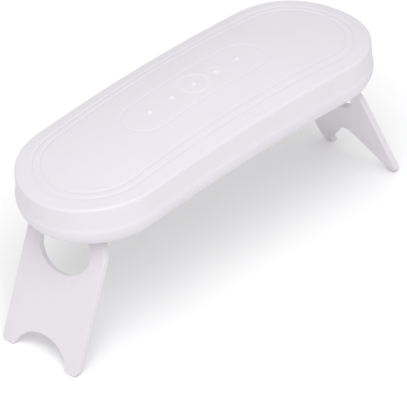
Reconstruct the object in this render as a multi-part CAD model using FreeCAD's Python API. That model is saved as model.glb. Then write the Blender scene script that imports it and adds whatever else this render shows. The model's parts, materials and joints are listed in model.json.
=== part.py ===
# UV curing lamp: a slim capsule-shaped body standing on two legs that fold into its underside.
# Frame: origin on the floor under the middle of the body, +X along the length, +Z up.
# All dimensions are in millimetres. The legs are modelled swung out, as the lamp stands.
import FreeCAD
import Part
import math
import os

os.makedirs("parts", exist_ok=True)
V = FreeCAD.Vector
UP = V(0, 0, 1)

# ---- body ----
LENGTH = 135.0            # end to end
WIDTH = 49.2
RIM_Z = 58.5              # floor to the rim line at mid length
DEPTH = 14.7              # rim line down to the underside
CAMBER = 3.56             # how far the ends sit below the middle
CROWN = 4.6               # rise of the top above the rim line
RIM_RADIUS = 1.2
BASE_RADIUS = 6.2
WALL = 1.8
INNER_RIM_RADIUS = 0.6
PARTING = 7.5             # rim line down to the joint between cover and base
LIP = (1.2, 1.1)          # height and thickness of the base's tongue inside the cover
LIP_ROOT = 3.0            # how far the tongue reaches down inside the base
RUNNING_GAP = 0.1
COVER_STEP = 0.35         # the cover's wall stands this far inside the base's
BASE_EDGE = 0.3           # rounding of the base's upper outer edge
# ---- relief on the top ----
OUTLINE_INSETS = (5.1, 7.7)
GROOVE = 0.7
GROOVE_DEPTH = 0.2
CAPSULE_HALF = (28.8, 7.8)
STUD_PITCH = 9.44
STUD_RADIUS = 0.6
STUD_HEIGHT = 0.35
# ---- button and indicator (heights are above the rim line) ----
BUTTON_HOLE = 9.7         # diameter
BUTTON = 9.5
BUTTON_FLANGE = (11.6, 1.4, 2.1)      # diameter, lower face, upper face
LIGHT_PIPE_HOLE = 3.5
LIGHT_PIPE = 3.4
LIGHT_PIPE_FOOT = -1.7
LIGHT_PIPE_COLLAR = (4.4, 1.2, 2.2)   # diameter, lower face, upper face
# ---- legs ----
LEG_SPLAY = 23.0          # degrees from vertical
LEG_WIDTH = 32.6
LEG_FOOT_WIDTH = 31.85
LEG_THICK = 2.14
SHOULDER = (12.2, 8.6, 6.0)  # half width at the hinge axis, where the taper ends below it, rounding there
LEG_HOLE_HALF = (10.5, 8.0)
LEG_HOLE_DROP = 11.35     # hinge axis to the middle of the hole
ARCH = (11.2, 8.6)        # half axes of the oval arch under the left leg
ARCH_SINK = 1.3           # its centre lies this far beyond the end of the leg
PEAK = (11.5, 2.4, 16.4)  # the right leg's taller arch: half width, height of its sides, height of its tip
PEAK_RADII = (3.5, 1.6)   # its rounded tip and shoulders
TOE_RADII = {"left": (1.6, 0.8), "right": (2.8, 0.8)}   # outer and inner corner of each toe
LEG_EDGE_RADIUS = 0.35
EJECTOR_MARK = (9.5, 7.4, 2.6, 0.08)  # off the middle, above the foot, radius, depth
HINGE_X = 52.37
HINGE_DROP = 15.0         # rim line down to the hinge axis
BARREL_RADIUS = 1.9
PIN_RADIUS = 1.0
PIN_CLEARANCE = 0.05
PIN_LENGTH = 38.0
# ---- leg pocket in the underside ----
POCKET_HALF = (54.75, 16.75)
POCKET_DEPTH = 3.2
POCKET_WALL = 1.6
WELL_X = 48.6             # the pocket is deeper outboard of this, for the leg barrels
WELL_ROOF = 12.6
# ---- light window ----
WINDOW_HALF = (29.0, 12.5)
LED_PITCH = (22.0, 14.0)
LED_SIZE = 3.5
LED_HEIGHT = 0.8
LENS_RADIUS = 1.45
CUP_TOP = 3.0             # radius
CUP_MOUTH = 4.6           # radius
REFLECTOR = (64.0, 28.0)
REFLECTOR_FLOOR = 9.6     # rim line down
LED_BOARD = (78.0, 27.0, 1.6)
LED_BOARD_FLOOR = 7.0
LED_SCREW_X = 35.5
# ---- control board ----
BOARD_X = 44.0
BOARD_Y = (-12.0, 21.5)
BOARD_THICK = 1.2
BOARD_FLOOR = 4.0
USB_HALF = 3.75            # the charging socket hangs under the board's back edge
USB_HEIGHT = 2.5
BOARD_POST = (2.3, 0.85)  # radius of a roof post and of its pilot hole
BOARD_SCREWS = ((-19.0, -9.5), (19.0, -9.5), (-19.0, 18.0), (19.0, 18.0))
# ---- push switch under the button ----
SWITCH_HALF = 3.0
SWITCH_TOP = 0.6          # above the rim line
PLUNGER_RADIUS = 1.72
PLUNGER = (-0.3, 1.4)     # foot and head, above the rim line
# ---- case screws ----
CASE_SEAT = 9.1           # rim line down to where the base's post meets the cover's boss
CASE_HEAD = 11.4          # rim line down to the underside of the screw head
CASE_POST = 3.4
CASE_BOSS = (2.8, 1.15)   # radius of a roof boss and of its pilot hole
CASE_HOLE = (2.3, 1.3)    # radius of the counterbore and of the clearance hole
CASE_SCREWS = ((-44.0, -12.5), (44.0, -12.5), (-44.0, 12.5), (44.0, 12.5))
# ---- hinge blocks beside the pocket ----
HINGE_BLOCK_Y = 24.0
# ---- screws: head radius, head height, shank radius, shank length ----
CASE_SCREW = (2.0, 1.3, 1.1, 6.6)
LED_SCREW = (1.6, 1.0, 0.8, 4.0)
BOARD_SCREW = (1.6, 1.0, 0.8, 3.8)
CROSS_RECESS = (1.0, 0.25, 0.6)       # half length, half width, depth
# ---- leads ----
LEAD_RADIUS = 0.6
LEAD_START = -19.8
LEAD_DROP_X = -26.0
LEAD_BEND = 1.6


def level(depth):
    # height above the floor of a plane `depth` below the rim line at mid length
    return RIM_Z - depth


def save(name, shape):
    shape.exportStep("parts/" + name + ".step")
    print(name, round(shape.Volume, 2), len(shape.Solids), shape.isValid())


def box(x0, x1, y0, y1, z0, z1):
    return Part.makeBox(x1 - x0, y1 - y0, z1 - z0, V(x0, y0, z0))


def rod(x, y, z0, z1, radius):
    return Part.makeCylinder(radius, z1 - z0, V(x, y, z0), UP)


def crosswise(x, z, half_length, radius):
    # a round bar lying along Y
    return Part.makeCylinder(radius, 2 * half_length, V(x, -half_length, z), V(0, 1, 0))


def join(shapes):
    out = shapes[0]
    for s in shapes[1:]:
        out = out.fuse(s)
    return out.removeSplitter()


def curved_sheet(depth, crown=0.0):
    # One smooth patch over the whole body. Along the length it drops by CAMBER at each end,
    # and `crown` is its rise at mid length, fading to nothing at the sides and the ends.
    half_x = 80.0
    half_y = 40.0
    a = (2 * half_x / LENGTH) ** 2
    b = (2 * half_y / WIDTH) ** 2
    droop = (a, -a, a)
    along = (1 - a, 1 + a, 1 - a)
    across = (1 - b, 1 + b, 1 - b)
    patch = Part.BezierSurface()
    patch.increase(2, 2)
    for i in range(3):
        for j in range(3):
            z = level(depth) - CAMBER * droop[i] + crown * along[i] * across[j]
            patch.setPole(i + 1, j + 1, V(half_x * (i - 1), half_y * (j - 1), z))
    return patch.toShape()


def under(depth, crown=0.0):
    return curved_sheet(depth, crown).extrude(V(0, 0, -90))


def over(depth, crown=0.0):
    return curved_sheet(depth, crown).extrude(V(0, 0, 90))


def capsule(half_x, half_y, z0, z1):
    # upright prism with straight long sides and round ends
    reach = half_x - half_y
    side = Part.makeLine(V(-reach, -half_y, z0), V(reach, -half_y, z0))
    end = Part.Arc(V(reach, -half_y, z0), V(half_x, 0, z0), V(reach, half_y, z0)).toShape()
    back = Part.makeLine(V(reach, half_y, z0), V(-reach, half_y, z0))
    start = Part.Arc(V(-reach, half_y, z0), V(-half_x, 0, z0), V(-reach, -half_y, z0)).toShape()
    return Part.Face(Part.Wire([side, end, back, start])).extrude(V(0, 0, z1 - z0))


def outline(inset, z0=0.0, z1=80.0):
    return capsule(LENGTH / 2 - inset, WIDTH / 2 - inset, z0, z1)


def rim_edges(solid, top):
    # the edges round the top face, or round the bottom one
    faces = sorted(solid.Faces, key=lambda f: f.CenterOfMass.z)
    face = faces[-1] if top else faces[0]
    return face.OuterWire.Edges


def body(inset, rim_radius, base_radius):
    # the body's outside, or the same shape shrunk by the wall thickness
    block = outline(inset).common(under(inset, CROWN)).common(over(DEPTH - inset))
    block = block.makeFillet(rim_radius, rim_edges(block, True))
    return block.makeFillet(base_radius, rim_edges(block, False))


def rounded_box(x0, x1, y0, y1, z0, z1, radius):
    block = box(x0, x1, y0, y1, z0, z1)
    uprights = [e for e in block.Edges if abs(e.Vertexes[0].Z - e.Vertexes[1].Z) > 0.5 * (z1 - z0)]
    return block.makeFillet(radius, uprights)


def ring_groove(outer, inner):
    # a shallow groove of even depth below the crowned top
    band = outer.cut(inner)
    return band.common(over(GROOVE_DEPTH, CROWN))


outside = body(0.0, RIM_RADIUS, BASE_RADIUS)
inside = body(WALL, INNER_RIM_RADIUS, BASE_RADIUS - WALL)

# ---- top cover ----
cover = outline(COVER_STEP).common(under(0, CROWN)).common(over(DEPTH))
cover = cover.makeFillet(RIM_RADIUS, rim_edges(cover, True))
cover = cover.cut(inside).common(over(PARTING))
for inset in OUTLINE_INSETS:
    cover = cover.cut(ring_groove(outline(inset), outline(inset + GROOVE)))
half_x, half_y = CAPSULE_HALF
capsule_line = ring_groove(capsule(half_x, half_y, 0, 80), capsule(half_x - GROOVE, half_y - GROOVE, 0, 80))
cover = cover.cut(capsule_line)


def stud(x):
    # a low round bump standing on the crowned top
    top = RIM_Z + CROWN - (CAMBER + CROWN) * (2 * x / LENGTH) ** 2
    radius = (STUD_RADIUS ** 2 + STUD_HEIGHT ** 2) / (2 * STUD_HEIGHT)
    ball = Part.makeSphere(radius, V(x, 0, top + STUD_HEIGHT - radius))
    return ball.common(rod(x, 0, top - 0.3, top + 1, STUD_RADIUS))


for step in (-2, -1, 2):
    cover = cover.fuse(stud(step * STUD_PITCH))
cover = cover.cut(rod(0, 0, level(0), 80, BUTTON_HOLE / 2))
cover = cover.cut(rod(STUD_PITCH, 0, level(0), 80, LIGHT_PIPE_HOLE / 2))

# bosses hanging from the roof: for the control board and for the case screws
roof_fill = outline(0.5).common(under(0.9, CROWN))
for x, y in BOARD_SCREWS:
    post = rod(x, y, level(BOARD_FLOOR - BOARD_THICK), 80, BOARD_POST[0]).common(roof_fill)
    cover = cover.fuse(post).cut(rod(x, y, level(3), level(-0.2), BOARD_POST[1]))
for x, y in CASE_SCREWS:
    boss = rod(x, y, level(CASE_SEAT - RUNNING_GAP), 80, CASE_BOSS[0]).common(roof_fill)
    cover = cover.fuse(boss).cut(rod(x, y, level(CASE_SEAT + 1), level(3.2), CASE_BOSS[1]))

# mouth for the charging plug in the long back wall
plug_mouth = box(-USB_HALF - 0.35, USB_HALF + 0.35, 20, 26,
                 level(BOARD_FLOOR + USB_HEIGHT + 0.3), level(BOARD_FLOOR - 0.3))
deep = [e for e in plug_mouth.Edges if abs(e.Vertexes[0].Y - e.Vertexes[1].Y) > 1]
plug_mouth = plug_mouth.makeFillet(0.8, deep)
cover = cover.cut(plug_mouth)
save("top_cover", cover.removeSplitter())

# ---- base shell: the lower band with the leg pocket ----
base = outside.common(under(PARTING))
base = base.makeFillet(BASE_EDGE, rim_edges(base, True)).cut(inside)
tongue = outline(WALL + RUNNING_GAP).cut(outline(WALL + RUNNING_GAP + LIP[1]))
tongue = tongue.common(over(PARTING + LIP_ROOT)).common(under(PARTING - LIP[0]))
socket_gap = box(-USB_HALF - 1, USB_HALF + 1, 0, 30, level(PARTING), level(0))
base = base.fuse(tongue.cut(socket_gap))
px, py = POCKET_HALF
housing = box(-px - POCKET_WALL, px + POCKET_WALL, -py - POCKET_WALL, py + POCKET_WALL, 0, 80)
housing = housing.common(under(DEPTH - POCKET_DEPTH - POCKET_WALL))
solids = [base, housing]
for side in (-1, 1):
    # thicker roof over the barrel well, and the blocks that carry the hinge pin
    x_in = WELL_X - POCKET_WALL
    x_out = px + POCKET_WALL
    x0, x1 = sorted((side * x_in, side * x_out))
    solids.append(box(x0, x1, -py - POCKET_WALL, py + POCKET_WALL, 0, level(WELL_ROOF - POCKET_WALL)))
    for y0, y1 in ((-HINGE_BLOCK_Y, -py), (py, HINGE_BLOCK_Y)):
        solids.append(box(x0, x1, y0, y1, 0, level(WELL_ROOF - POCKET_WALL)))
for x, y in CASE_SCREWS:
    solids.append(rod(x, y, 0, level(CASE_SEAT), CASE_POST))
frame_x, frame_y = REFLECTOR
seat = box(-frame_x / 2, frame_x / 2, -frame_y / 2, frame_y / 2, 0, level(REFLECTOR_FLOOR))
solids.append(seat)
for side in (-1, 1):
    solids.append(rod(side * LED_SCREW_X, 0, 0, level(LED_BOARD_FLOOR), 2.6))
for s in solids[1:]:
    base = base.fuse(s.common(outside))

pocket = rounded_box(-px, px, -py, py, 0, 80, 1.0).common(under(DEPTH - POCKET_DEPTH))
wells = []
for side in (-1, 1):
    x0, x1 = sorted((side * WELL_X, side * px))
    wells.append(box(x0, x1, -py, py, 0, level(WELL_ROOF)))
base = base.cut(pocket)
for well in wells:
    base = base.cut(well)
wx, wy = WINDOW_HALF
base = base.cut(rounded_box(-wx, wx, -wy, wy, 0, 80, 3.0))
for side in (-1, 1):
    base = base.cut(crosswise(side * HINGE_X, level(HINGE_DROP), PIN_LENGTH / 2, PIN_RADIUS))
    base = base.cut(rod(side * LED_SCREW_X, 0, level(10.2), level(5), 0.85))
for x, y in CASE_SCREWS:
    base = base.cut(rod(x, y, 0, level(CASE_HEAD), CASE_HOLE[0]))
    base = base.cut(rod(x, y, 0, 80, CASE_HOLE[1]))
save("base_shell", base.removeSplitter())

# ---- button ----
flange, low, high = BUTTON_FLANGE
cap = rod(0, 0, level(-low), 80, BUTTON / 2).common(under(0, CROWN))
save("button_cap", join([cap, rod(0, 0, level(-low), level(-high), flange / 2), stud(0)]))

# ---- indicator light pipe ----
flange, low, high = LIGHT_PIPE_COLLAR
pipe = rod(STUD_PITCH, 0, level(-LIGHT_PIPE_FOOT), 80, LIGHT_PIPE / 2).common(under(0, CROWN))
collar = rod(STUD_PITCH, 0, level(-low), level(-high), flange / 2)
save("indicator_light_pipe", join([pipe, collar, stud(STUD_PITCH)]))


# ---- legs ----
def oval(z, half_y, half_z):
    # a plug through the leg's thickness, wider than it is tall
    disc = Part.Face(Part.Wire([Part.Ellipse(V(0, 0, 0), half_y, half_z).toShape()]))
    disc.Placement = FreeCAD.Placement(V(-5, 0, z), FreeCAD.Rotation(V(0, 1, 0), V(0, 0, 1), V(1, 0, 0)))
    return disc.extrude(V(10, 0, 0))


def peaked_arch(foot):
    # sloping sides that meet in a rounded tip; each side ends in a short upright shoulder above `foot`
    half, shoulder, tip = PEAK
    ring = [V(-5, -half, foot - 9), V(-5, -half, foot + shoulder), V(-5, 0, foot + tip)]
    ring += [V(-5, half, foot + shoulder), V(-5, half, foot - 9), ring[0]]
    arch = Part.Face(Part.makePolygon(ring)).extrude(V(10, 0, 0))
    through = [e for e in arch.Edges if e.BoundBox.XLength > 9]
    arch = arch.makeFillet(PEAK_RADII[0], [e for e in through if e.BoundBox.ZMin > foot + tip - 0.1])
    through = [e for e in arch.Edges if e.BoundBox.XLength > 9 and e.BoundBox.ZLength < 0.01]
    shoulders = [e for e in through if abs(e.BoundBox.ZMin - foot - shoulder) < 0.1]
    return arch.makeFillet(PEAK_RADII[1], shoulders)


def leg(name, side):
    # Drawn hanging straight down from the hinge axis, then swung out and trimmed level with the floor.
    hinge_z = level(HINGE_DROP)
    length = hinge_z / math.cos(math.radians(LEG_SPLAY))
    below = length + 4
    top = LEG_WIDTH / 2
    foot = LEG_FOOT_WIDTH / 2
    neck, taper, rounding = SHOULDER
    ring = [V(0, -neck, 0), V(0, neck, 0), V(0, top, -taper), V(0, foot, -below), V(0, -foot, -below)]
    ring += [V(0, -top, -taper), ring[0]]
    plate = Part.Face(Part.makePolygon(ring)).extrude(V(LEG_THICK, 0, 0))
    plate.translate(V(-LEG_THICK / 2, 0, 0))
    corners = [e for e in plate.Edges if e.BoundBox.XLength > 1 and abs(e.CenterOfMass.z + taper) < 0.1]
    plate = plate.makeFillet(rounding, corners)
    plate = plate.cut(oval(-LEG_HOLE_DROP, LEG_HOLE_HALF[0], LEG_HOLE_HALF[1]))
    arch = oval(-length - ARCH_SINK, *ARCH) if name == "left" else peaked_arch(-length)
    plate = plate.cut(arch)
    turn = FreeCAD.Rotation(V(0, 1, 0), -side * LEG_SPLAY)
    swing = FreeCAD.Placement(V(side * HINGE_X, 0, hinge_z), turn)
    plate = plate.transformGeometry(swing.toMatrix()).cut(box(-90, 90, -30, 30, -9, 0))

    def toe_edges(outer):
        across = [e for e in plate.Edges if e.BoundBox.ZMax < 0.01 and e.BoundBox.YLength < 0.3]
        return [e for e in across if (abs(e.CenterOfMass.y) > PEAK[0] + 1) == outer]

    plate = plate.makeFillet(TOE_RADII[name][0], toe_edges(True))
    plate = plate.makeFillet(TOE_RADII[name][1], toe_edges(False))
    broad = sorted(plate.Faces, key=lambda f: f.Area)[-2:]
    rims = [e for f in broad for e in f.Edges if e.BoundBox.ZMin < hinge_z - 1.5]
    plate = plate.makeFillet(LEG_EDGE_RADIUS, rims)
    across, above, radius, depth = EJECTOR_MARK
    for y in (-across, across):
        centre = V(-side * (LEG_THICK / 2 - depth), y, above - length)
        mark = Part.makeCylinder(radius, 2, centre, V(-side, 0, 0))
        plate = plate.cut(mark.transformGeometry(swing.toMatrix()))
    shape = join([plate, crosswise(side * HINGE_X, hinge_z, top, BARREL_RADIUS)])
    return shape.cut(crosswise(side * HINGE_X, hinge_z, top + 1, PIN_RADIUS + PIN_CLEARANCE))


for side, name in ((-1, "left"), (1, "right")):
    save("leg_" + name, leg(name, side))
    pin = crosswise(side * HINGE_X, level(HINGE_DROP), PIN_LENGTH / 2, PIN_RADIUS)
    save("hinge_pin_" + name, pin)

# ---- reflector with a flared cup round each LED ----
LED_SPOTS = [(i * LED_PITCH[0], j * LED_PITCH[1] / 2) for i in (-1, 0, 1) for j in (-1, 1)]
low = level(REFLECTOR_FLOOR)
high = level(LED_BOARD_FLOOR)
plate = box(-frame_x / 2, frame_x / 2, -frame_y / 2, frame_y / 2, low, high)
for x, y in LED_SPOTS:
    plate = plate.cut(Part.makeCone(CUP_MOUTH, CUP_TOP, high - low, V(x, y, low), UP))
save("reflector_plate", plate)

# ---- LED board, LEDs and lenses ----
lx, ly, lt = LED_BOARD
board_floor = level(LED_BOARD_FLOOR)
sheet = rounded_box(-lx / 2, lx / 2, -ly / 2, ly / 2, board_floor, board_floor + lt, 2.0)
for side in (-1, 1):
    sheet = sheet.cut(rod(side * LED_SCREW_X, 0, 0, 80, 1.1))
save("led_board", sheet)
packages = []
lenses = []
h = LED_SIZE / 2
face = board_floor - LED_HEIGHT
for x, y in LED_SPOTS:
    packages.append(box(x - h, x + h, y - h, y + h, face, board_floor))
    dome = Part.makeSphere(LENS_RADIUS, V(x, y, face))
    lenses.append(dome.common(box(x - 3, x + 3, y - 3, y + 3, 0, face)))
save("led_packages", Part.makeCompound(packages))
save("led_lenses", Part.makeCompound(lenses))

# ---- control board and what is soldered on it ----
board_top = level(BOARD_FLOOR - BOARD_THICK)
board = rounded_box(-BOARD_X / 2, BOARD_X / 2, BOARD_Y[0], BOARD_Y[1], level(BOARD_FLOOR), board_top, 1.5)
for x, y in BOARD_SCREWS:
    board = board.cut(rod(x, y, 0, 80, 1.1))
save("control_board", board)


def chips(spots, size):
    sx, sy, sz = size
    return [box(x - sx / 2, x + sx / 2, y - sy / 2, y + sy / 2, board_top, board_top + sz) for x, y in spots]


def pins(x, y, count, pitch, span):
    # two rows of flat legs beside a chip
    out = []
    for k in range(count):
        offset = (k - (count - 1) / 2) * pitch
        for s in (-1, 1):
            y0, y1 = sorted((y + s * 1.95, y + s * span))
            out.append(box(x + offset - 0.2, x + offset + 0.2, y0, y1, board_top, board_top + 0.25))
    return out


controller_spot = (-12.5, 5.0)
resistor_spots = [(-14.0 + 3.0 * k, -8.5) for k in range(4)] + [(14.5, 2.0 + 2.5 * k) for k in range(3)]
controller = chips([controller_spot], (4.9, 3.9, 1.5)) + pins(*controller_spot, 4, 1.27, 3.0)
save("microcontroller", join(controller))
save("driver_transistors", Part.makeCompound(chips([(12.0, -8.0), (12.0, -4.0)], (2.9, 1.6, 1.1))))
save("control_resistors", Part.makeCompound(chips(resistor_spots, (2.0, 1.25, 0.5))))
capacitors = chips([(-12.5, 0.2), (-9.0, 0.2), (-9.0, 10.5)], (2.0, 1.25, 1.2))
save("control_capacitors", Part.makeCompound(capacitors))
save("input_diode", chips([(10.5, 14.0)], (4.3, 2.6, 2.2))[0])
save("indicator_led", chips([(STUD_PITCH, 0.0)], (2.0, 1.25, 0.8))[0])

# ---- push switch under the button ----
h = SWITCH_HALF
switch = rounded_box(-h, h, -h, h, board_top, level(-SWITCH_TOP), 0.4)
save("switch_body", switch.cut(rod(0, 0, level(1.2), 80, PLUNGER_RADIUS + RUNNING_GAP)))
tails = []
for x in (-2.25, 2.25):
    for s in (-1, 1):
        y0, y1 = sorted((s * h, s * (h + 1.2)))
        tails.append(box(x - 0.35, x + 0.35, y0, y1, board_top, board_top + 0.3))
save("switch_terminals", Part.makeCompound(tails))
low, high = PLUNGER
save("switch_plunger", rod(0, 0, level(-low), level(-high), PLUNGER_RADIUS))

# ---- micro-USB socket ----
usb_z = level(BOARD_FLOOR + USB_HEIGHT)
can = box(-USB_HALF, USB_HALF, 18.2, 23.9, usb_z, level(BOARD_FLOOR))
long_edges = [e for e in can.Edges if abs(e.Vertexes[0].Y - e.Vertexes[1].Y) > 1]
can = can.makeFillet(0.6, long_edges)
hollow = box(-USB_HALF + 0.3, USB_HALF - 0.3, 18.5, 26, usb_z + 0.3, level(BOARD_FLOOR + 0.3))
save("usb_socket_shell", can.cut(hollow))
tongue = box(-1.75, 1.75, 18.5, 22.9, usb_z + 0.95, usb_z + 1.55)
root = box(-3.0, 3.0, 18.5, 19.3, usb_z + 0.35, usb_z + USB_HEIGHT - 0.35)
save("usb_socket_tongue", join([tongue, root]))


# ---- screws ----
def screw(x, y, z_head, direction, sizes):
    # pan head with a cross recess; `direction` is +1 when the shank points up
    head_radius, head, shank_radius, shank = sizes
    long_half, slim_half, recess = CROSS_RECESS
    cap = rod(0, 0, -head, 0, head_radius)
    cap = cap.makeFillet(0.4, [e for e in cap.Edges if abs(e.CenterOfMass.z + head) < 0.01 and e.Length > 3])
    slot = box(-long_half, long_half, -slim_half, slim_half, -head - 1, -head + recess)
    cross = slot.fuse(box(-slim_half, slim_half, -long_half, long_half, -head - 1, -head + recess))
    shape = cap.cut(cross).fuse(rod(0, 0, 0, shank, shank_radius)).removeSplitter()
    if direction < 0:
        shape.rotate(V(0, 0, 0), V(1, 0, 0), 180)
    shape.translate(V(x, y, z_head))
    return shape


case_screws = [screw(x, y, level(CASE_HEAD), 1, CASE_SCREW) for x, y in CASE_SCREWS]
led_screws = [screw(s * LED_SCREW_X, 0, board_floor + lt, -1, LED_SCREW) for s in (-1, 1)]
board_screws = [screw(x, y, level(BOARD_FLOOR), 1, BOARD_SCREW) for x, y in BOARD_SCREWS]
save("case_screws", Part.makeCompound(case_screws))
save("led_board_screws", Part.makeCompound(led_screws))
save("control_board_screws", Part.makeCompound(board_screws))


# ---- the two leads from the control board down to the LED board ----
def lead(y):
    z_high = board_top + LEAD_RADIUS + 0.05
    near = LEAD_BEND * (1 - math.sqrt(0.5))
    a = V(LEAD_START, y, z_high)
    b = V(LEAD_DROP_X + LEAD_BEND, y, z_high)
    m = V(LEAD_DROP_X + near, y, z_high - near)
    c = V(LEAD_DROP_X, y, z_high - LEAD_BEND)
    d = V(LEAD_DROP_X, y, board_floor + lt)
    path = Part.Wire([Part.makeLine(a, b), Part.Arc(b, m, c).toShape(), Part.makeLine(c, d)])
    ring = Part.Wire([Part.makeCircle(LEAD_RADIUS, a, V(-1, 0, 0))])
    return path.makePipeShell([ring], True, True)


save("lead_positive", lead(2.0))
save("lead_negative", lead(-2.0))
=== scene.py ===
# UV curing lamp: the looks. Lengths are in mm unless a comment says metres; the frame itself is in metres.
import bmesh
import bpy
import json
import math
from mathutils import Matrix, Vector
from mathutils.geometry import delaunay_2d_cdt


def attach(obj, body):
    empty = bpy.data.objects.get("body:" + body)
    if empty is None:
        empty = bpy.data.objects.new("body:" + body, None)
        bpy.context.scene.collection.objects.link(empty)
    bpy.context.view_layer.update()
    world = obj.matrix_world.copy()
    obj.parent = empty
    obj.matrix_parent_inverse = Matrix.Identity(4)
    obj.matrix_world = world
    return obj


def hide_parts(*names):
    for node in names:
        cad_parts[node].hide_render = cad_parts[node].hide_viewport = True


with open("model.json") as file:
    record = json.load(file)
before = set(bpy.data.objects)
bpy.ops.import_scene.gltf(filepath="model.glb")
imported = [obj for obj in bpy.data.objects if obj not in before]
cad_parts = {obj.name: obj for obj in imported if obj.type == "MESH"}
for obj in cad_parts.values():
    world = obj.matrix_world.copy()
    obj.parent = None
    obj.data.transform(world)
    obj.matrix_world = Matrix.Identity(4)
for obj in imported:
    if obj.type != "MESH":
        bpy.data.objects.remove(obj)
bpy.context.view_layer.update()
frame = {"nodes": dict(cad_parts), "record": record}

MM = 0.001

# ---- driving dimensions of the body, in mm ----
HALF_LENGTH = 67.5
HALF_WIDTH = 24.6
REACH = HALF_LENGTH - HALF_WIDTH      # straight run each side of the middle
RIM_Z = 58.5
CAMBER = 3.56
CROWN = 4.6
RIM_RADIUS = 0.8                      # crisper than the solid's, as the lit line along the rim shows
RIM_STEPS = 12                        # rings of mesh round the rim
INNER_RIM_RADIUS = 0.6
INNER_RIM_STEPS = 4
WALL = 1.8
PARTING_Z = 51.0
COVER_STEP = 0.35                     # the cover's wall stands this far inside the base's
PARTING_EASE = 0.02                   # the small bevel under the cover's foot
FLARE = (0.2, 0.9)                    # how far the cover's wall spreads at its foot, and over what height
FLARE_STEPS = 6
WALL_RINGS = (0.35, 0.7, 0.93)        # rings of mesh up the cover's wall, as shares of its height
PLAIN_INSETS = (1.8, 2.6, 3.4, 4.2)   # rings of mesh between the rim and the outer groove
GROOVE_INSETS = (5.45, 8.05)
GROOVE_HALF = 0.75
GROOVE_DEPTH = 0.22
GROOVE_STEPS = 8                      # rings of mesh each side of a groove's middle
GROOVE_SPREAD = 7                     # the groove ends at this step, and the last ring lies just outside it
BLEND_STEPS = 9                       # rings of mesh from the outline's shape to the capsule's
ROOF_BLENDS = (0.33, 0.66, 1.0)       # the same on the inside, as shares of the way
CAPSULE_GROOVE = (0.6, 0.15)          # half width and depth of the capsule line
FIELD_INSET = 9.3                     # from here the rings change from the outline to the capsule
CAPSULE = (21.0, 7.45)                # straight run and radius of the capsule line
INNER_FIELD = 6.5                     # radius of the capsule's plain middle
STUD_X = (-18.88, -9.44, 18.88)
# a stud from its foot up: radius, height, strength of its painted highlight
STUD_PROFILE = ((1.25, 0.0, 0.0), (1.12, 0.015, 0.0), (0.98, 0.08, 0.1), (0.84, 0.2, 0.6), (0.64, 0.33, 1.0),
                (0.36, 0.42, 1.0))
STUD_TOP = 0.45
STUD_STEPS = 28
BUTTON_STEPS = 96
PIPE_STEPS = 48
BUTTON_HOLE = 4.85                    # radius
BUTTON_FLANGE = (5.8, 1.4, 2.1)       # radius, lower and upper face above the rim line
BUTTON_FOOT = 5.0                     # radius of the flat under the flange
BUTTON_NECK = (0.3, 0.15)             # width and height of the cone from the flange to the disc
PIPE_X = 9.44
PIPE_HOLE = 1.75                      # radius
PIPE_COLLAR = (2.2, 1.2, 2.2)         # radius, lower and upper face above the rim line
PIPE_TIP = (1.7, 1.7, 0.2, 0.15)      # radius, how far below the rim line it hangs, bevel's width and height
FLANGE_BEVEL = 0.1
# down a hole's eased mouth: how far outside the hole's radius, height, strength of its painted highlight
HOLE_EASE = ((0.62, 0.0, 0.2), (0.44, -0.01, 0.6), (0.24, -0.036, 0.8), (0.08, -0.07, 0.4),
             (0.0, -0.12, 0.0))
DISC_SKIRT = 0.5                      # a disc's wall reaches this far below the crown
DISC_RINGS = (0.9, 1.4, 0.5)          # its rings of mesh: first inset, smallest radius, spacing
RIM_HIGHLIGHT = 0.25                        # how strongly a painted highlight lightens the rim and the ring edges
RUNNING_GAP = 0.012                   # between a round piece and the hole it sits in
PIPE_SHARE = (0.6, 0.85)              # the small ring has this share of the easing and of the stud
MOUTH = (4.1, 51.7, 54.8, 0.8)        # half width, floor, ceiling and corner radius of the plug mouth
MOUTH_CUT = (20.0, 26.0)              # from inside the long back wall to outside it
# posts under the roof: middle, foot, outer radius, pilot hole's radius
BOARD_POSTS = [(x, y, 55.7, 2.3, 0.85) for x in (-19.0, 19.0) for y in (-9.5, 18.0)]
CASE_BOSSES = [(x, y, 49.5, 2.8, 1.15) for x in (-44.0, 44.0) for y in (-12.5, 12.5)]
POST_BEVEL = 0.15
PILOT_END = 1.5                       # the pilot hole stops this far below the top of the post
END_STEPS = 72
SIDE_STEPS = 72
GRID = 0.9                            # spacing of the even mesh in the capsule's middle
GRID_ROW = 0.87                       # its rows stand this share of the spacing apart
GRID_CLEAR = (0.5, 0.4)               # how far it keeps from the capsule and from a round hole
HOLE_SHARE = 0.995                    # a triangle whose middle is inside this share of a hole is dropped
MOUTH_CORNER_STEPS = 8
LED_CORNER_STEPS = 4
SHARP_ANGLE = 50                      # degrees; edges over this stay sharp
LED_SHARP_ANGLE = 30
LED_FACE_DROP = 7.8                   # rim line down to the LEDs' faces
LED_SPOTS = [(x, y) for x in (-22.0, 0.0, 22.0) for y in (-7.0, 7.0)]
# half size, corner radius, top above the LED's face, bottom below it, bevel
LED_BASE = (1.75, 0.25, 0.8, 0.0, 0.12)
LED_PAD = (0.9, 0.1, 0.1, 0.04, 0.02)
LED_DIE = (0.5, 0.04, 0.0, 0.2, 0.02)
# the studio, in metres and watts
FLOOR_SIZE = 3
SKY = 0.73
KEY_PLACE = (-0.5, -0.6, 1.3)
KEY_SIZE = 1.1
KEY_POWER = 11.3
KEY_AIM = (0, 0, 0.04)


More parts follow.
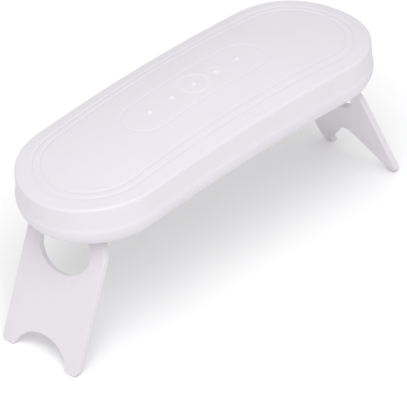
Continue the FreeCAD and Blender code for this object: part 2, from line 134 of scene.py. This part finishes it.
# ---- camera: near-orthographic, from the lamp's front left ----
def make_camera(turn, tilt, roll, distance, lens, pan, rise):
    """Angles in radians, distance in metres from the middle of the rim line; pan and rise turn the aim."""
    back = Vector((math.sin(turn) * math.cos(tilt), -math.cos(turn) * math.cos(tilt), math.sin(tilt)))
    right = (-back).cross(Vector((0, 0, 1))).normalized()
    up = right.cross(-back)
    c, s = math.cos(roll), math.sin(roll)
    right, up = c * right + s * up, -s * right + c * up
    aim = (-back + right * pan - up * rise).normalized()
    right = (right - aim * right.dot(aim)).normalized()
    up = right.cross(aim)
    cam = bpy.data.cameras.new("camera")
    obj = bpy.data.objects.new("camera", cam)
    bpy.context.scene.collection.objects.link(obj)
    m = Matrix((right, up, -aim)).transposed().to_4x4()
    m.translation = Vector((0, 0, RIM_Z * MM)) + back * distance
    obj.matrix_world = m
    cam.lens = lens
    cam.sensor_width = 36
    cam.clip_end = 20
    bpy.context.scene.camera = obj


make_camera(turn=-0.75734, tilt=0.58892, roll=-0.06641, distance=1.93895, lens=551.8,
            pan=0.001412, rise=0.017583)


# ---- materials ----
class Nodes:
    """A material's node tree, with short helpers for adding nodes and linking them."""

    def __init__(self, name):
        self.material = bpy.data.materials.new(name)
        self.material.use_nodes = True
        self.tree = self.material.node_tree
        self.shader = self.tree.nodes["Principled BSDF"]
        self.coord = self.tree.nodes.new("ShaderNodeTexCoord").outputs["Object"]

    def add(self, kind, values=None, **options):
        node = self.tree.nodes.new(kind)
        for key, value in options.items():
            setattr(node, key, value)
        for key, value in (values or {}).items():
            if isinstance(value, bpy.types.NodeSocket):
                self.tree.links.new(value, node.inputs[key])
            else:
                node.inputs[key].default_value = value
        return node

    def noise(self, size_mm, detail=3.0, roughness=0.55, stretch=(1, 1, 1)):
        where = self.add("ShaderNodeMapping", {"Vector": self.coord, "Scale": stretch}).outputs[0]
        return self.add("ShaderNodeTexNoise", {"Vector": where, "Scale": 1000 / size_mm, "Detail": detail,
                                               "Roughness": roughness}).outputs["Fac"]

    def remap(self, value, low, high, to_low, to_high):
        return self.add("ShaderNodeMapRange", {"Value": value, "From Min": low, "From Max": high,
                                               "To Min": to_low, "To Max": to_high}).outputs[0]

    def mix(self, factor, a, b, blend="MIX"):
        node = self.add("ShaderNodeMix", {}, data_type="RGBA", blend_type=blend)
        for index, value in ((0, factor), (6, a), (7, b)):
            if isinstance(value, bpy.types.NodeSocket):
                self.tree.links.new(value, node.inputs[index])
            else:
                node.inputs[index].default_value = value if index == 0 else (*value[:3], 1)
        return node.outputs[2]

    def edges(self, low=0.51, high=0.56):
        point = self.add("ShaderNodeNewGeometry").outputs["Pointiness"]
        return self.remap(point, low, high, 0.0, 1.0)

    def put(self, **sockets):
        for key, value in sockets.items():
            socket = self.shader.inputs[key.replace("_", " ")]
            if isinstance(value, bpy.types.NodeSocket):
                self.tree.links.new(value, socket)
            else:
                socket.default_value = value
        return self.material

    def bump(self, height, depth_mm, under=None):
        values = {"Height": height, "Distance": depth_mm * MM, "Strength": 1.0}
        if under is not None:
            values["Normal"] = under
        return self.add("ShaderNodeBump", values).outputs[0]


HIGHLIGHT_LAYER = "painted_highlight"                     # a value per vertex: how strongly a painted highlight lightens it toward white


def tint(color, factor):
    return tuple(c * factor for c in color)


def moulded(name, color, rough=0.46, grain=0.28, depth=0.006, flow=0.02, edge_highlight=0.05, marked=False):
    """Moulded plastic: spark-eroded grain, slight flow variation, and a painted highlight that lightens the
    edges.

    The mesh itself says where those edges are if `marked`, or else they are found by their curvature.
    """
    n = Nodes(name)
    broad = n.noise(26, 2.0)
    fine = n.noise(grain, 2.0, 0.6)
    dust = n.noise(3.0, 4.0, 0.7)
    shade = n.mix(n.remap(broad, 0.35, 0.65, 0, 1), tint(color, 1 - flow), color)
    shade = n.mix(n.remap(dust, 0.52, 0.8, 0, 0.5), shade, tint(color, 1 - 2.0 * flow))
    # painted highlight: edges are mixed toward white, by the mesh's per-vertex values or by their curvature
    painted_highlight = n.add("ShaderNodeAttribute", attribute_name=HIGHLIGHT_LAYER).outputs["Fac"] if marked else n.edges()
    shade = n.mix(n.add("ShaderNodeMath", {0: painted_highlight, 1: edge_highlight}, operation="MULTIPLY").outputs[0],
                  shade, (1, 1, 1))
    gloss = n.remap(n.noise(9.0, 4.0), 0.3, 0.7, rough - 0.05, rough + 0.06)
    grained = n.bump(fine, depth)
    waved = n.bump(n.noise(14, 1.0), 0.02, under=grained)
    return n.put(Base_Color=shade, Roughness=gloss, Normal=waved, IOR=1.5)


def metal(name, color, rough=0.28, stretch=(1, 1, 14), size=0.5, depth=0.004):
    """Plated or rolled metal: drawn lines, uneven gloss, darker in the corners."""
    n = Nodes(name)
    lines = n.noise(size, 3.0, 0.6, stretch)
    shade = n.mix(n.remap(n.noise(2.2, 4.0), 0.35, 0.7, 0, 1), color, tint(color, 0.82))
    shade = n.mix(n.edges(0.5, 0.42), shade, tint(color, 0.5))
    gloss = n.remap(lines, 0.3, 0.7, rough - 0.06, rough + 0.1)
    return n.put(Base_Color=shade, Metallic=1.0, Roughness=gloss, Normal=n.bump(lines, depth))


def board(name, color, bare, track, pitch=2.54, rough=0.35):
    """Solder mask over copper tracks: straight raised runs with round pads, on a woven substrate."""
    n = Nodes(name)
    black = (0, 0, 0, 1)
    white = (1, 1, 1, 1)
    bricks = n.add("ShaderNodeTexBrick", {"Vector": n.coord, "Scale": 1000 / (pitch * 4),
                                          "Mortar Size": 0.03, "Mortar": white,
                                          "Color1": black, "Color2": black})
    dots = n.add("ShaderNodeTexVoronoi", {"Vector": n.coord, "Scale": 1000 / (pitch * 1.3),
                                          "Randomness": 0.85})
    pads = n.remap(dots.outputs["Distance"], 0.10, 0.12, 1, 0)
    runs = n.remap(bricks.outputs["Fac"], 0.4, 0.6, 0, 1)
    weave = n.noise(0.6, 2.0, 0.5, (1, 1, 3))
    shade = n.mix(n.remap(n.noise(12, 3.0), 0.3, 0.7, 0, 1), color, tint(color, 0.86))
    shade = n.mix(runs, shade, track)
    shade = n.mix(pads, shade, bare)
    gloss = n.remap(weave, 0.3, 0.7, rough - 0.05, rough + 0.1)
    height = n.add("ShaderNodeMath", {0: runs, 1: n.remap(weave, 0, 1, 0, 0.2)}, operation="ADD").outputs[0]
    return n.put(Base_Color=shade, Roughness=gloss, Normal=n.bump(height, 0.03))


def clear(name, color, rough=0.08, passing=0.9):
    """Clear or milky silicone or polycarbonate with faint ripples and trapped haze."""
    n = Nodes(name)
    haze = n.noise(1.4, 3.0)
    shade = n.mix(n.remap(haze, 0.4, 0.7, 0, 0.6), color, tint(color, 0.93))
    gloss = n.remap(haze, 0.3, 0.7, rough, rough + 0.1)
    return n.put(Base_Color=shade, Roughness=gloss, IOR=1.45, Transmission_Weight=passing,
                 Normal=n.bump(n.noise(0.8, 2.0), 0.004))


def fired(name, color, speck, rough=0.55):
    """Fired ceramic or sintered body: speckled, dry, slightly pitted."""
    n = Nodes(name)
    pits = n.add("ShaderNodeTexVoronoi", {"Vector": n.coord, "Scale": 1000 / 0.12}).outputs["Distance"]
    shade = n.mix(n.remap(n.noise(0.18, 3.0), 0.5, 0.7, 0, 1), color, speck)
    gloss = n.remap(n.noise(0.5, 2.0), 0.3, 0.7, rough - 0.08, rough + 0.08)
    return n.put(Base_Color=shade, Roughness=gloss, Normal=n.bump(pits, 0.006))


WHITE = (0.728, 0.708, 0.752)
# moulded materials paint a faint highlight on their edges, found by curvature unless the mesh gives it
MATERIALS = {
    "shell_plastic": moulded("shell_plastic", WHITE),
    "leg_plastic": moulded("leg_plastic", (0.722, 0.688, 0.729), rough=0.42, grain=0.35),
    "button_plastic": moulded("button_plastic", WHITE, rough=0.44, edge_highlight=0.2, marked=True),
    "light_pipe": clear("light_pipe", (0.80, 0.785, 0.825), rough=0.35, passing=0.06),
    "steel": metal("steel", (0.60, 0.60, 0.61)),
    "reflector": moulded("reflector", (0.86, 0.86, 0.87), rough=0.22, grain=0.5, depth=0.003),
    "led_board": board("led_board", (0.84, 0.84, 0.82), (0.72, 0.70, 0.66), (0.87, 0.87, 0.85)),
    "led_package": fired("led_package", (0.78, 0.76, 0.70), (0.70, 0.67, 0.58)),
    "led_lens": clear("led_lens", (0.92, 0.93, 0.98)),
    "circuit_board": board("circuit_board", (0.02, 0.16, 0.06), (0.72, 0.60, 0.34), (0.03, 0.24, 0.09)),
    "black_epoxy": moulded("black_epoxy", (0.022, 0.022, 0.024), rough=0.5, grain=0.12, edge_highlight=0.03),
    "ceramic_chip": fired("ceramic_chip", (0.42, 0.29, 0.18), (0.30, 0.20, 0.12)),
    "red_wire": moulded("red_wire", (0.55, 0.025, 0.02), rough=0.38, grain=0.6, edge_highlight=0.0),
    "black_wire": moulded("black_wire", (0.02, 0.02, 0.022), rough=0.38, grain=0.6, edge_highlight=0.0),
}
# the cover's rim, studs and hole mouths carry a painted highlight, read from the mesh
COVER_PLASTIC = moulded("cover_plastic", WHITE, edge_highlight=0.2, marked=True)
for part in frame["record"]["subparts"]:
    obj = frame["nodes"][part["node"]]
    obj.data.materials.clear()
    obj.data.materials.append(MATERIALS[part["material_slot"]])


# ---- mesh helpers: everything in mm until it becomes an object ----
def crown(x, y):
    u = (x / HALF_LENGTH) ** 2
    return RIM_Z - CAMBER * u + CROWN * (1 - u) * (1 - (y / HALF_WIDTH) ** 2)


def parting(x):
    return PARTING_Z - CAMBER * (x / HALF_LENGTH) ** 2


def stadium(reach, radius):
    """Points round a capsule outline, starting at the end toward +X; every outline has the same count."""
    pts = []
    for side in (1, -1):
        for k in range(END_STEPS):
            a = math.pi * (k / END_STEPS - 0.5)
            pts.append((side * (reach + radius * math.cos(a)), side * radius * math.sin(a)))
        for k in range(SIDE_STEPS):
            pts.append((side * reach * (1 - 2 * k / SIDE_STEPS), side * radius))
    return pts


def rounded_rect(x0, y0, half_x, half_y, radius, steps):
    pts = []
    for sx, sy, start in ((1, 1, 0), (-1, 1, 90), (-1, -1, 180), (1, -1, 270)):
        for k in range(steps + 1):
            a = math.radians(start + 90 * k / steps)
            pts.append((x0 + sx * (half_x - radius) + radius * math.cos(a),
                        y0 + sy * (half_y - radius) + radius * math.sin(a)))
    return pts


def circle(x0, radius, steps):
    return [(x0 + radius * math.cos(2 * math.pi * k / steps), radius * math.sin(2 * math.pi * k / steps))
            for k in range(steps)]


def new_mesh():
    bm = bmesh.new()
    bm.verts.layers.float.new(HIGHLIGHT_LAYER)
    return bm


def loop(bm, pts, height, painted_highlight=0.0):
    layer = bm.verts.layers.float[HIGHLIGHT_LAYER]
    made = [bm.verts.new((x, y, height(x, y))) for x, y in pts]
    for v in made:
        v[layer] = painted_highlight
    return made


def skin(bm, loops, up=True):
    """Quads between each loop and the next; `up` when the loops go inward over a face seen from above."""
    for a, b in zip(loops, loops[1:]):
        for k in range(len(a)):
            j = (k + 1) % len(a)
            quad = (a[k], a[j], b[j], b[k])
            bm.faces.new(quad if up else quad[::-1])


def cap(bm, ring, height):
    """Closes a small round loop with a fan to its middle."""
    layer = bm.verts.layers.float[HIGHLIGHT_LAYER]
    x = sum(v.co.x for v in ring) / len(ring)
    y = sum(v.co.y for v in ring) / len(ring)
    tip = bm.verts.new((x, y, height))
    tip[layer] = ring[0][layer]
    for k in range(len(ring)):
        bm.faces.new((ring[k], ring[(k + 1) % len(ring)], tip))


def sheet_between(bm, outer, holes, height, up=True):
    """An even triangulated sheet inside `outer` and outside the round `holes`, sharing their vertices."""
    rings = [outer] + [h[2] for h in holes]
    fixed = [v for ring in rings for v in ring]
    edges = []
    start = 0
    for ring in rings:
        edges += [(start + k, start + (k + 1) % len(ring)) for k in range(len(ring))]
        start += len(ring)
    reach = CAPSULE[0]
    inside, beside = GRID_CLEAR
    grid = []
    rows = int(INNER_FIELD / (GRID * GRID_ROW))
    columns = int((reach + INNER_FIELD) / GRID) + 1
    for j in range(-rows, rows + 1):
        y = j * GRID * GRID_ROW
        for i in range(-columns, columns + 1):
            x = (i + 0.5 * (j % 2)) * GRID
            beyond = max(abs(x) - reach, 0)
            if math.hypot(beyond, y) > INNER_FIELD - inside:
                continue
            if all(math.hypot(x - h[0], y) > h[1] + beside for h in holes):
                grid.append((x, y))
    flat = [Vector((v.co.x, v.co.y)) for v in fixed] + [Vector(p) for p in grid]
    out = delaunay_2d_cdt(flat, edges, [], 0, 1e-6)
    made = []
    for co, origin in zip(out[0], out[3]):
        if origin and origin[0] < len(fixed):
            made.append(fixed[origin[0]])
        else:
            made.append(bm.verts.new((co.x, co.y, height(co.x, co.y))))
    for tri in out[2]:
        p = [out[0][i] for i in tri]
        cx = sum(q.x for q in p) / 3
        cy = sum(q.y for q in p) / 3
        if any(math.hypot(cx - h[0], cy) < h[1] * HOLE_SHARE for h in holes):
            continue
        if math.hypot(max(abs(cx) - reach, 0), cy) > INNER_FIELD:
            continue
        area = (p[1] - p[0]).cross(p[2] - p[0])
        order = tri if (area > 0) == up else tri[::-1]
        bm.faces.new([made[i] for i in order])


def finish_piece(bm, name, body, slot, stands_for=None, material=None):
    bmesh.ops.scale(bm, vec=(MM, MM, MM), verts=bm.verts)
    mesh = bpy.data.meshes.new(name)
    bm.to_mesh(mesh)
    bm.free()
    for face in mesh.polygons:
        face.use_smooth = True
    mesh.materials.append(material or MATERIALS[slot])
    obj = bpy.data.objects.new(name, mesh)
    bpy.context.scene.collection.objects.link(obj)
    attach(obj, body)
    if stands_for:
        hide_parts(stands_for)
    return obj


def sharpen(obj, degrees):
    obj.data.set_sharp_from_angle(angle=math.radians(degrees))


# ---- top cover: one closed moulding with soft relief ----
def fillet_loops(radius, inset, depth, steps):
    """Insets and drops of a rounded rim that starts `inset` inside the outline, `depth` below the crown."""
    out = []
    for k in range(steps + 1):
        a = 0.5 * math.pi * k / steps
        out.append((inset + radius * (1 - math.cos(a)), depth + radius * (1 - math.sin(a))))
    return out


def groove(off, half, depth):
    """How deep a soft groove is at `off` from its middle line."""
    return 0.5 * depth * (1 + math.cos(math.pi * off / half)) if abs(off) < half else 0


def cover_outside(bm):
    def at(inset, height, painted_highlight=0.0):
        return loop(bm, stadium(REACH, HALF_WIDTH - inset), height, painted_highlight)

    wall = COVER_STEP
    spread, rise = FLARE
    loops = [at(wall - spread + PARTING_EASE, lambda x, y: parting(x))]
    for k in range(FLARE_STEPS + 1):
        t = k / FLARE_STEPS
        loops.append(at(wall - spread * (1 - t) ** 2, lambda x, y: parting(x) + PARTING_EASE + rise * t))
    for share in WALL_RINGS:
        loops.append(at(wall, lambda x, y: parting(x) + share * (crown(x, y) - RIM_RADIUS - parting(x))))
    for k, (inset, drop) in enumerate(fillet_loops(RIM_RADIUS, wall, 0, RIM_STEPS)):
        # the rim carries a painted highlight, strongest halfway round the fillet
        loops.append(at(inset, lambda x, y: crown(x, y) - drop, RIM_HIGHLIGHT * math.sin(math.pi * k / RIM_STEPS)))
    insets = [*PLAIN_INSETS, FIELD_INSET]
    for middle in GROOVE_INSETS:
        insets += [middle + GROOVE_HALF * k / GROOVE_SPREAD for k in range(-GROOVE_STEPS, GROOVE_STEPS + 1)]
    for inset in sorted(insets):
        depth = sum(groove(inset - middle, GROOVE_HALF, GROOVE_DEPTH) for middle in GROOVE_INSETS)
        loops.append(at(inset, lambda x, y: crown(x, y) - depth))
    wide = stadium(REACH, HALF_WIDTH - FIELD_INSET)
    reach, radius = CAPSULE
    half, deep = CAPSULE_GROOVE
    narrow = stadium(reach, radius + half * GROOVE_STEPS / GROOVE_SPREAD)
    for k in range(1, BLEND_STEPS):
        t = k / BLEND_STEPS
        pts = [(a[0] + t * (b[0] - a[0]), a[1] + t * (b[1] - a[1])) for a, b in zip(wide, narrow)]
        loops.append(loop(bm, pts, crown))
    for k in range(GROOVE_STEPS, -GROOVE_STEPS - 1, -1):
        off = half * k / GROOVE_SPREAD
        depth = groove(off, half, deep)
        loops.append(loop(bm, stadium(reach, radius + off), lambda x, y: crown(x, y) - depth))
    loops.append(loop(bm, stadium(reach, INNER_FIELD), crown))
    skin(bm, loops)
    return loops[0], loops[-1]


def cover_inside(bm):
    def at(inset, height):
        return loop(bm, stadium(REACH, HALF_WIDTH - inset), height)

    def roof(x, y):
        return crown(x, y) - WALL

    loops = [at(WALL, lambda x, y: parting(x)),
             at(WALL, lambda x, y: 0.5 * (parting(x) + roof(x, y) - INNER_RIM_RADIUS))]
    for inset, drop in fillet_loops(INNER_RIM_RADIUS, WALL, WALL, INNER_RIM_STEPS):
        loops.append(at(inset, lambda x, y: crown(x, y) - drop))
    loops.append(at(FIELD_INSET, roof))
    wide = stadium(REACH, HALF_WIDTH - FIELD_INSET)
    narrow = stadium(CAPSULE[0], INNER_FIELD)
    for t in ROOF_BLENDS:
        pts = [(a[0] + t * (b[0] - a[0]), a[1] + t * (b[1] - a[1])) for a, b in zip(wide, narrow)]
        loops.append(loop(bm, pts, roof))
    skin(bm, loops, up=False)
    return loops[0], loops[-1]


def eased_hole(bm, x0, radius, steps, share=1.0):
    """Loops down the eased mouth of a round hole; the first one lies in the top surface."""
    loops = []
    for out, drop, highlight_amount in HOLE_EASE:
        pts = circle(x0, radius + out * share, steps)
        loops.append(loop(bm, pts, lambda x, y: crown(x, y) + drop * share, highlight_amount))
    return loops


def post(bm, x0, y0, foot, outer, inner):
    """A hollow post from `foot` up into the roof."""
    def ring(radius, z):
        pts = [(x0 + px, y0 + py) for px, py in circle(0, radius, STUD_STEPS)]
        return loop(bm, pts, z)

    def top(x, y):
        return crown(x, y) - WALL * 0.5

    pilot_end = top(x0, y0) - PILOT_END
    loops = [ring(outer, top), ring(outer, lambda x, y: foot + POST_BEVEL),
             ring(outer - POST_BEVEL, lambda x, y: foot),
             ring(inner, lambda x, y: foot), ring(inner, lambda x, y: pilot_end)]
    skin(bm, loops, up=False)
    cap(bm, loops[-1][::-1], pilot_end)
    cap(bm, loops[0], top(x0, y0))


def plug_mouth_cutter():
    half, low, high, radius = MOUTH
    bm = bmesh.new()
    pts = rounded_rect(0, 0.5 * (low + high), half, 0.5 * (high - low), radius, MOUTH_CORNER_STEPS)
    near, far = ([bm.verts.new((x, y, z)) for x, z in pts] for y in MOUTH_CUT)
    bm.faces.new(near)
    bm.faces.new(far[::-1])
    for k in range(len(pts)):
        j = (k + 1) % len(pts)
        bm.faces.new((near[k], far[k], far[j], near[j]))
    bmesh.ops.recalc_face_normals(bm, faces=bm.faces)
    bmesh.ops.scale(bm, vec=(MM, MM, MM), verts=bm.verts)
    mesh = bpy.data.meshes.new("cutter")
    bm.to_mesh(mesh)
    bm.free()
    return bpy.data.objects.new("cutter", mesh)


def cut_with(obj, cutter):
    """Takes the cutter's volume out of obj for good, then drops the cutter."""
    bpy.context.scene.collection.objects.link(cutter)
    cutter.hide_render = True
    mod = obj.modifiers.new("cut", "BOOLEAN")
    mod.operation = "DIFFERENCE"
    mod.solver = "EXACT"
    mod.object = cutter
    graph = bpy.context.evaluated_depsgraph_get()
    made = bpy.data.meshes.new_from_object(obj.evaluated_get(graph))
    obj.modifiers.clear()
    old = obj.data
    made.name = old.name + "_cut"
    obj.data = made
    bpy.data.meshes.remove(old)
    bpy.data.objects.remove(cutter)


def make_cover():
    bm = new_mesh()
    edge, field = cover_outside(bm)
    inner_edge, inner_field = cover_inside(bm)
    skin(bm, [edge, inner_edge], up=False)
    button = eased_hole(bm, 0, BUTTON_HOLE, BUTTON_STEPS)
    pipe = eased_hole(bm, PIPE_X, PIPE_HOLE, PIPE_STEPS, PIPE_SHARE[0])
    studs = []
    for x0 in STUD_X:
        rings = []
        # each stud carries a painted highlight toward its top
        for r, rise, highlight_amount in STUD_PROFILE:
            rings.append(loop(bm, circle(x0, r, STUD_STEPS), lambda x, y: crown(x, y) + rise, highlight_amount))
        skin(bm, rings)
        cap(bm, rings[-1], crown(x0, 0) + STUD_TOP)
        studs.append((x0, STUD_PROFILE[0][0], rings[0]))
    first = HOLE_EASE[0][0]
    holes = [(0, BUTTON_HOLE + first, button[0]), (PIPE_X, PIPE_HOLE + first * PIPE_SHARE[0], pipe[0])]
    sheet_between(bm, field, holes + studs, crown)

    def roof(x, y):
        return crown(x, y) - WALL

    below = []
    for x0, radius, rings in ((0, BUTTON_HOLE, button), (PIPE_X, PIPE_HOLE, pipe)):
        last = loop(bm, circle(x0, radius, len(rings[0])), roof)
        skin(bm, rings + [last])
        below.append((x0, radius, last))
    sheet_between(bm, inner_field, below, roof, up=False)
    for spec in BOARD_POSTS + CASE_BOSSES:
        post(bm, *spec)
    obj = finish_piece(bm, "cover_moulding", "housing", "shell_plastic", "top_cover", COVER_PLASTIC)
    cut_with(obj, plug_mouth_cutter())
    sharpen(obj, SHARP_ANGLE)


# ---- turned pieces set in the cover ----
def turned(name, x0, profile, steps, body, slot, node):
    """A round piece; a profile item is (radius, height, whether above the crown, strength of its painted
    highlight).
    """
    bm = new_mesh()

    def height(z, on_crown):
        return (lambda x, y: crown(x, y) + z) if on_crown else (lambda x, y: z)

    loops = [loop(bm, circle(x0, r, steps), height(z, follows), highlight_amount) for r, z, follows, highlight_amount in profile]
    skin(bm, loops)
    top = profile[-1]
    cap(bm, loops[-1], crown(x0, 0) + STUD_TOP if top[2] else top[1])
    cap(bm, loops[0][::-1], profile[0][1])
    sharpen(finish_piece(bm, name, body, slot, node), SHARP_ANGLE)


def disc_top(radius, ease=1.0, stud=1.0):
    """The crowned face of a disc with an eased edge and a stud in its middle."""
    edge = [(radius, -DISC_SKIRT, True, 0.0)]
    edge += [(radius - out * ease, drop * ease, True, highlight_amount) for out, drop, highlight_amount in HOLE_EASE[::-1]]
    inset, least, spacing = DISC_RINGS
    face = []
    r = radius - inset
    while r > least:
        face.append((r, 0.0, True, 0.0))
        r -= spacing
    return edge + face + [(r * stud, rise * stud, True, highlight_amount) for r, rise, highlight_amount in STUD_PROFILE]


def flange(radius, low, high):
    """A bevelled flange's profile from its lower face to its upper one, both given above the rim line."""
    low += RIM_Z
    high += RIM_Z
    b = FLANGE_BEVEL
    return (radius - b, low), (radius, low + b), (radius, high - b), (radius - b, high)


def make_button():
    radius = BUTTON_HOLE - RUNNING_GAP
    low, high = (RIM_Z + z for z in BUTTON_FLANGE[1:])
    wide, tall = BUTTON_NECK
    profile = [(BUTTON_FOOT, low), *flange(*BUTTON_FLANGE), (radius + wide, high), (radius, high + tall)]
    profile = [(r, z, False, 0.0) for r, z in profile] + disc_top(radius)
    turned("button_disc", 0, profile, BUTTON_STEPS, "button", "button_plastic", "button_cap")


def make_light_pipe():
    radius = PIPE_HOLE - RUNNING_GAP
    low, high = (RIM_Z + z for z in PIPE_COLLAR[1:])
    tip, hang, wide, tall = PIPE_TIP
    profile = [(tip - wide, RIM_Z - hang), (tip, RIM_Z - hang + tall), (tip, low)]
    profile += [*flange(*PIPE_COLLAR), (radius, high)]
    profile = [(r, z, False, 0.0) for r, z in profile] + disc_top(radius, *PIPE_SHARE)
    turned("indicator_pipe", PIPE_X, profile, PIPE_STEPS, "housing", "light_pipe", "indicator_light_pipe")


# ---- LEDs: ceramic bases with eased edges, a gold pad and a die under each lens ----
def slab(bm, x0, y0, half, radius, high, low, ease):
    """A square block hanging from `high` down to `low`, its lower edges eased."""
    levels = ((half, high), (half, low + ease), (half - 0.3 * ease, low + 0.3 * ease), (half - ease, low))
    loops = []
    for size, z in levels:
        square = rounded_rect(x0, y0, size, size, radius, LED_CORNER_STEPS)
        loops.append([bm.verts.new((x, y, z)) for x, y in square])
    skin(bm, loops, up=False)
    bm.faces.new(loops[0])
    bm.faces.new(loops[-1][::-1])


def make_leds():
    face = RIM_Z - LED_FACE_DROP
    gold = metal("gold_pad", (0.83, 0.66, 0.36), rough=0.3, stretch=(1, 1, 1), size=0.3)
    die = metal("die", (0.30, 0.27, 0.34), rough=0.22, stretch=(1, 1, 1), size=0.1)
    layers = (("led_bases", LED_BASE, "led_packages", None), ("led_pads", LED_PAD, None, gold),
              ("led_dies", LED_DIE, None, die))
    for name, (half, radius, above, below, ease), node, material in layers:
        bm = bmesh.new()
        for x, y in LED_SPOTS:
            slab(bm, x, y, half, radius, face + above, face - below, ease)
        sharpen(finish_piece(bm, name, "housing", "led_package", node, material), LED_SHARP_ANGLE)


make_cover()
make_button()
make_light_pipe()
make_leds()


# ---- studio: pale floor, soft light ----
def add_key_light():
    data = bpy.data.lights.new("key", "AREA")
    data.shape = "DISK"
    data.size = KEY_SIZE
    data.energy = KEY_POWER
    obj = bpy.data.objects.new("key", data)
    bpy.context.scene.collection.objects.link(obj)
    obj.location = KEY_PLACE
    obj.rotation_euler = (Vector(KEY_AIM) - Vector(KEY_PLACE)).to_track_quat("-Z", "Y").to_euler()


def make_studio():
    bm = bmesh.new()
    bmesh.ops.create_grid(bm, x_segments=8, y_segments=8, size=FLOOR_SIZE)
    mesh = bpy.data.meshes.new("floor")
    bm.to_mesh(mesh)
    bm.free()
    n = Nodes("floor")
    shade = n.mix(n.remap(n.noise(60, 2.0), 0.3, 0.7, 0, 1), (0.955, 0.955, 0.955), (0.965, 0.965, 0.965))
    mesh.materials.append(n.put(Base_Color=shade, Roughness=0.9))
    floor = bpy.data.objects.new("floor", mesh)
    bpy.context.scene.collection.objects.link(floor)
    world = bpy.data.worlds.new("studio")
    world.use_nodes = True
    sky = world.node_tree.nodes["Background"]
    sky.inputs["Color"].default_value = (1, 1, 1, 1)
    sky.inputs["Strength"].default_value = SKY
    bpy.context.scene.world = world
    add_key_light()
    bpy.context.scene.view_settings.view_transform = "Standard"


make_studio()
